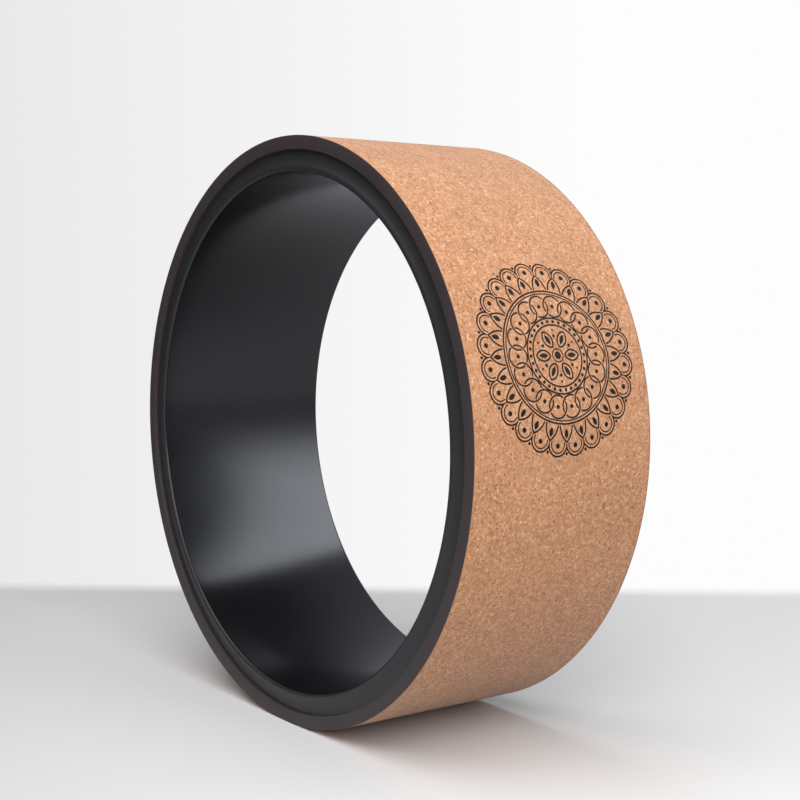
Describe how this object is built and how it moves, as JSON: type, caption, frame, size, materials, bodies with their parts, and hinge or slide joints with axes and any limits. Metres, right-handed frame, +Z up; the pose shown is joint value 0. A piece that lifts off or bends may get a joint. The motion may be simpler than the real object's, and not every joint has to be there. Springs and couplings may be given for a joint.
{
  "type": "yoga wheel",
  "caption": "Rigid ring for yoga and back stretching: black plastic core with an open bore, foam layer, cork-covered tread with a printed rosette, and thin dark edge bands.",
  "frame": {"origin": "centre of the wheel, on its axis and midway between its two side faces", "axes": "+Y along the wheel's axis towards the back face, +Z up; the wheel stands on its tread, which is lowest on -Z, and the print faces +X"},
  "size_m": [0.33, 0.118, 0.33],
  "materials": {
    "core_plastic": "satin black polyethylene, extruded and turned",
    "bond_film": "cured contact adhesive film",
    "foam": "matte closed-cell foam",
    "cork": "fine agglomerated cork sheet, sanded",
    "edge_band": "matte thermoplastic elastomer sheet"
  },
  "bodies": {
    "root": {"core_ring": "core_plastic", "bond_film": "bond_film", "foam_layer": "foam", "cork_cover": "cork", "front_edge_band": "edge_band", "back_edge_band": "edge_band"}
  },
  "joints": []
}
